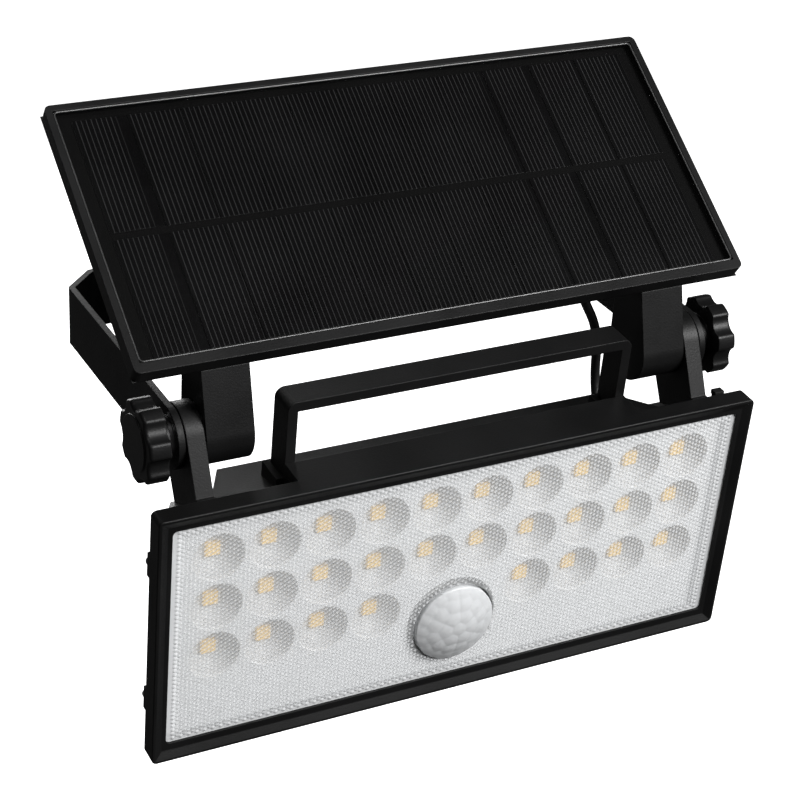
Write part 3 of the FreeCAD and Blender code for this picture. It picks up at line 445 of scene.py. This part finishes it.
def motion_dome():
    sink = 24.0
    rings = 44
    around = 144
    centres = lenslet_centres()
    profile = [(EYE * index / rings, None) for index in range(1, rings + 1)]
    profile += [(EYE, 0.0008), (EYE, 0.0016), (EYE, 0.0034)]
    bm = bmesh.new()

    def depth(x, z):
        radius = math.hypot(x, z)
        cap = EYE_SPHERE - EYE_TALL - math.sqrt(max(EYE_SPHERE ** 2 - radius ** 2, 0.0))
        nearest = min((x - u) ** 2 + (z - v) ** 2 for u, v in centres)
        fade = min(1.0, (EYE - radius) / 0.001)
        return WINDOW_Y + cap + sink * nearest * max(fade, 0.0)

    tip = bm.verts.new((0.0, depth(0.0, 0.0), EYE_Z))
    previous = None
    for radius, skirt in profile:
        ring = []
        for index in range(around):
            angle = 2 * math.pi * index / around
            x, z = radius * math.cos(angle), radius * math.sin(angle)
            y = depth(x, z) if skirt is None else WINDOW_Y + skirt
            ring.append(bm.verts.new((x, y, EYE_Z + z)))
        for index in range(around):
            follower = (index + 1) % around
            if previous is None:
                bm.faces.new((tip, ring[index], ring[follower]))
            else:
                bm.faces.new((previous[index], ring[index], ring[follower], previous[follower]))
        previous = ring
    dome = piece_from("motion_dome", bm, "lens_milky", LAMP, "lamp", smooth=True)
    thicken(dome, 0.001)
    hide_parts("motion_lens")
    return dome


# ---- a bead of sealant round the panel's glass --------------------------------------------------------

def glass_bead():
    radius = 0.00042
    half_x = GLASS_HALF - radius
    low, high = GLASS_LOW + radius, GLASS_HIGH - radius
    corner = 0.0015
    path = []
    centres = ((half_x - corner, high - corner, 0), (-half_x + corner, high - corner, 90),
               (-half_x + corner, low + corner, 180), (half_x - corner, low + corner, 270))
    for x, y, start in centres:
        for step in range(7):
            angle = math.radians(start + 15 * step)
            path.append(Vector((x + corner * math.cos(angle), y + corner * math.sin(angle), PANEL_FACE)))
    bm = bmesh.new()
    loops = []
    sides = 8
    for index, point in enumerate(path):
        along = (path[(index + 1) % len(path)] - path[index - 1]).normalized()
        outward = along.cross(Vector((0, 0, 1)))
        ring = []
        for side in range(sides):
            angle = 2 * math.pi * side / sides
            offset = outward * math.cos(angle) + Vector((0, 0, 1)) * math.sin(angle)
            ring.append(bm.verts.new(point + offset * radius))
        loops.append(ring)
    for index, ring in enumerate(loops):
        following = loops[(index + 1) % len(loops)]
        for side in range(sides):
            other = (side + 1) % sides
            bm.faces.new((ring[side], following[side], following[other], ring[other]))
    return piece_from("glass_bead", bm, "seal_rubber", PANEL, "panel", smooth=True)


# ---- the cable ------------------------------------------------------------------------------------------

def cable_points():
    """The route's corner points: the lamp's gland first, in the lamp's frame, then the panel's."""
    lamp_points = [(0.099, 0.0153, -0.0618), (0.099, 0.033, -0.0618), (0.102, 0.0475, -0.046),
                   (0.0995, 0.046, -0.020), (0.0865, 0.0445, 0.0008), (0.080, 0.0465, 0.027)]
    panel_points = [(0.064, 0.062, 0.01225), (0.048, 0.062, 0.01225)]
    return [LAMP @ Vector(p) for p in lamp_points] + [PANEL @ Vector(p) for p in panel_points]


def smooth_line(points, resolution=10):
    """Points along the NURBS line that the route controls."""
    curve = bpy.data.curves.new("route", "CURVE")
    curve.dimensions = "3D"
    curve.resolution_u = resolution
    spline = curve.splines.new("NURBS")
    spline.points.add(len(points) - 1)
    for target, point in zip(spline.points, points):
        target.co = (*point, 1.0)
    spline.order_u = 3
    spline.use_endpoint_u = True
    route = bpy.data.objects.new("route", curve)
    bpy.context.scene.collection.objects.link(route)
    bpy.context.view_layer.update()
    mesh = bpy.data.meshes.new_from_object(route.evaluated_get(bpy.context.evaluated_depsgraph_get()))
    line = [vertex.co.copy() for vertex in mesh.vertices]
    bpy.data.objects.remove(route)
    bpy.data.curves.remove(curve)
    bpy.data.meshes.remove(mesh)
    return line


def tube_along(line, radius, sides=20):
    """A round tube whose section turns with the line without twisting."""
    bm = bmesh.new()
    side = (line[1] - line[0]).orthogonal().normalized()
    rings = []
    for index, point in enumerate(line):
        along = (line[min(index + 1, len(line) - 1)] - line[max(index - 1, 0)]).normalized()
        side = (side - along * side.dot(along)).normalized()
        across = along.cross(side)
        turns = [2 * math.pi * step / sides for step in range(sides)]
        spokes = [side * math.cos(a) + across * math.sin(a) for a in turns]
        rings.append([bm.verts.new(point + spoke * radius) for spoke in spokes])
    for ring, following in zip(rings, rings[1:]):
        for step in range(sides):
            other = (step + 1) % sides
            bm.faces.new((ring[step], ring[other], following[other], following[step]))
    bm.faces.new(rings[0][::-1])
    bm.faces.new(rings[-1])
    return bm


def cable():
    points = cable_points()
    line = smooth_line(points)
    bm = tube_along(line, CABLE)
    tube = piece_from("panel_cable", bm, "cable_rubber", Matrix.Identity(4), None, smooth=True)
    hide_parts("solar_cable")
    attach(tube, "lamp")
    tube.parent = None
    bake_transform(tube)
    return tube


# ---- studio ----------------------------------------------------------------------------------------------

def camera():
    azimuth = math.radians(-28.57)
    elevation = math.radians(28.32)
    roll = math.radians(3.57)
    back = Vector((math.sin(azimuth) * math.cos(elevation), -math.cos(azimuth) * math.cos(elevation),
                   math.sin(elevation)))
    data = bpy.data.cameras.new("camera")
    data.sensor_width = 36.0
    data.lens = 97.15
    data.clip_start = 0.01
    data.clip_end = 50.0
    item = bpy.data.objects.new("camera", data)
    item.rotation_mode = "QUATERNION"
    item.rotation_quaternion = (-back).to_track_quat("-Z", "Y") @ Quaternion((0, 0, 1), roll)
    item.location = (-0.3546, -0.7351, 0.3766)
    bpy.context.scene.collection.objects.link(item)
    bpy.context.scene.camera = item


def softbox(name, place, target, size, power):
    data = bpy.data.lights.new(name, "AREA")
    data.size = size
    data.energy = power
    item = bpy.data.objects.new(name, data)
    item.location = place
    aim = Vector(target) - Vector(place)
    item.rotation_mode = "QUATERNION"
    item.rotation_quaternion = aim.to_track_quat("-Z", "Y")
    bpy.context.scene.collection.objects.link(item)


def floor():
    low, _ = cad_box
    bm = bmesh.new()
    bmesh.ops.create_grid(bm, x_segments=1, y_segments=1, size=30.0)
    mesh = bpy.data.meshes.new("floor")
    bm.to_mesh(mesh)
    bm.free()
    item = bpy.data.objects.new("floor", mesh)
    item.location = (0, 0, low.z - FLOOR_DROP)
    bpy.context.scene.collection.objects.link(item)
    graph = surface("floor_white", (0.9, 0.9, 0.9), 0.8, 60.0, 0.0001, spread=0.01)
    graph.shader.inputs["Emission Color"].default_value = (1.0, 1.0, 1.0, 1.0)
    graph.shader.inputs["Emission Strength"].default_value = 1.0
    mesh.materials.append(graph.material)
    item.visible_diffuse = False
    item.visible_glossy = False


def world():
    studio = bpy.data.worlds.new("studio")
    bpy.context.scene.world = studio
    studio.use_nodes = True
    tree = studio.node_tree
    tree.nodes.clear()
    output = tree.nodes.new("ShaderNodeOutputWorld")
    seen = tree.nodes.new("ShaderNodeBackground")
    seen.inputs[0].default_value = (1, 1, 1, 1)
    soft = tree.nodes.new("ShaderNodeBackground")
    soft.inputs[0].default_value = (1, 1, 1, 1)
    soft.inputs[1].default_value = 0.06
    ray = tree.nodes.new("ShaderNodeLightPath")
    choice = tree.nodes.new("ShaderNodeMixShader")
    tree.links.new(ray.outputs["Is Camera Ray"], choice.inputs[0])
    tree.links.new(soft.outputs[0], choice.inputs[1])
    tree.links.new(seen.outputs[0], choice.inputs[2])
    tree.links.new(choice.outputs[0], output.inputs[0])


def studio():
    scene = bpy.context.scene
    scene.view_settings.view_transform = "Standard"
    centre = (0.0, -0.10, -0.02)
    softbox("key", (0.75, -1.25, 0.95), centre, 0.8, 46.0)
    softbox("top", (-0.35, -0.35, 1.4), centre, 0.5, 4.0)
    softbox("behind", (0.1, 1.5, 0.15), centre, 0.9, 16.0)
    world()


# ---- build -------------------------------------------------------------------------------------------------

camera()
floor()
studio()
materials = make_materials()
paint_cad_nodes()
diffuser()
motion_dome()
glass_bead()
cable()
